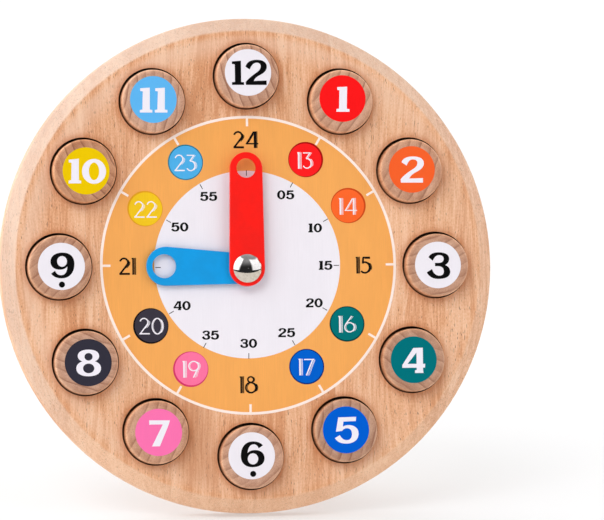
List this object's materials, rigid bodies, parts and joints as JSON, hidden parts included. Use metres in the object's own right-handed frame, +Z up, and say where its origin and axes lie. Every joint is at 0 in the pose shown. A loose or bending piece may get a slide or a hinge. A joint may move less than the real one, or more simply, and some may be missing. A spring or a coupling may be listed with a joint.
{
  "type": "geared teaching clock",
  "caption": "Round wooden teaching clock on a folding easel leg, with loose number pegs and two geared hands that turn together.",
  "frame": {"origin": "on the floor, at the centre of the bounding box in X and Y, under the leaning board", "axes": "+Z up, the dial faces -Y and leans back 12 degrees, +X to the right as seen from the front"},
  "size_m": [0.28, 0.1112, 0.2761],
  "materials": {
    "board_wood": "clear matt lacquer on pale hardwood with a printed dial",
    "peg_wood": "end grain, clear matt lacquer, printed round label",
    "leg_wood": "clear matt lacquer",
    "red_plastic": "satin red",
    "blue_plastic": "satin blue",
    "red_acetal": "moulded",
    "blue_acetal": "moulded",
    "white_acetal": "moulded",
    "clear_acrylic": "clear, polished",
    "chrome": "polished",
    "brass": "turned",
    "steel": "turned",
    "zinc_steel": "zinc plated",
    "rubber": "moulded"
  },
  "bodies": {
    "board": {"board": "board_wood", "centre_bush": "brass", "rear_cover": "clear_acrylic", "arbor_bearing": "brass", "friction_washer": "rubber", "intermediate_stud": "steel", "stud_clip": "steel", "leg_bracket": "zinc_steel", "hinge_pin": "steel", "cover_screw_1": "zinc_steel", "cover_screw_2": "zinc_steel", "cover_screw_3": "zinc_steel", "cover_screw_4": "zinc_steel", "cover_screw_5": "zinc_steel", "cover_screw_6": "zinc_steel", "bracket_screw_1": "zinc_steel", "bracket_screw_2": "zinc_steel", "bracket_screw_3": "zinc_steel", "bracket_screw_4": "zinc_steel"},
    "minute": {"minute_hand": "red_plastic", "minute_arbor": "steel", "cannon_pinion": "red_acetal", "hand_washer": "white_acetal", "dome_nut": "chrome"},
    "hour": {"hour_hand": "blue_plastic", "hour_wheel": "blue_acetal"},
    "intermediate": {"intermediate_gear": "white_acetal"},
    "leg": {"stand_leg": "leg_wood", "foot_pad_left": "rubber", "foot_pad_right": "rubber"},
    "peg_1": {"number_peg_1": "peg_wood"},
    "peg_2": {"number_peg_2": "peg_wood"},
    "peg_3": {"number_peg_3": "peg_wood"},
    "peg_4": {"number_peg_4": "peg_wood"},
    "peg_5": {"number_peg_5": "peg_wood"},
    "peg_6": {"number_peg_6": "peg_wood"},
    "peg_7": {"number_peg_7": "peg_wood"},
    "peg_8": {"number_peg_8": "peg_wood"},
    "peg_9": {"number_peg_9": "peg_wood"},
    "peg_10": {"number_peg_10": "peg_wood"},
    "peg_11": {"number_peg_11": "peg_wood"},
    "peg_12": {"number_peg_12": "peg_wood"}
  },
  "joints": [
    {"name": "minute_turn", "type": "hinge", "parent": "board", "child": "minute", "pos_m": [-0.0021, -0.02698, 0.13934], "axis": [0, 0.9781, -0.2079], "continuous": true},
    {"name": "hour_turn", "type": "hinge", "parent": "board", "child": "hour", "pos_m": [-0.0021, -0.02444, 0.1388], "axis": [0, 0.9781, -0.2079], "continuous": true},
    {"name": "intermediate_turn", "type": "hinge", "parent": "board", "child": "intermediate", "pos_m": [0.02805, -0.00977, 0.13568], "axis": [0, 0.9781, -0.2079], "continuous": true},
    {"name": "leg_fold", "type": "hinge", "parent": "board", "child": "leg", "pos_m": [0, 0.02162, 0.2112], "axis": [-1, 0, 0], "range_deg": [0, 20]},
    {"name": "peg_1_pull", "type": "slide", "parent": "board", "child": "peg_1", "axis": [0, -0.9781, 0.2079], "range_m": [0, 0.04]},
    {"name": "peg_2_pull", "type": "slide", "parent": "board", "child": "peg_2", "axis": [0, -0.9781, 0.2079], "range_m": [0, 0.04]},
    {"name": "peg_3_pull", "type": "slide", "parent": "board", "child": "peg_3", "axis": [0, -0.9781, 0.2079], "range_m": [0, 0.04]},
    {"name": "peg_4_pull", "type": "slide", "parent": "board", "child": "peg_4", "axis": [0, -0.9781, 0.2079], "range_m": [0, 0.04]},
    {"name": "peg_5_pull", "type": "slide", "parent": "board", "child": "peg_5", "axis": [0, -0.9781, 0.2079], "range_m": [0, 0.04]},
    {"name": "peg_6_pull", "type": "slide", "parent": "board", "child": "peg_6", "axis": [0, -0.9781, 0.2079], "range_m": [0, 0.04]},
    {"name": "peg_7_pull", "type": "slide", "parent": "board", "child": "peg_7", "axis": [0, -0.9781, 0.2079], "range_m": [0, 0.04]},
    {"name": "peg_8_pull", "type": "slide", "parent": "board", "child": "peg_8", "axis": [0, -0.9781, 0.2079], "range_m": [0, 0.04]},
    {"name": "peg_9_pull", "type": "slide", "parent": "board", "child": "peg_9", "axis": [0, -0.9781, 0.2079], "range_m": [0, 0.04]},
    {"name": "peg_10_pull", "type": "slide", "parent": "board", "child": "peg_10", "axis": [0, -0.9781, 0.2079], "range_m": [0, 0.04]},
    {"name": "peg_11_pull", "type": "slide", "parent": "board", "child": "peg_11", "axis": [0, -0.9781, 0.2079], "range_m": [0, 0.04]},
    {"name": "peg_12_pull", "type": "slide", "parent": "board", "child": "peg_12", "axis": [0, -0.9781, 0.2079], "range_m": [0, 0.04]}
  ],
  "couplings": [
    {"joint": "hour_turn", "follows": "minute_turn", "ratio": 0.083333},
    {"joint": "intermediate_turn", "follows": "minute_turn", "ratio": -0.33333}
  ]
}
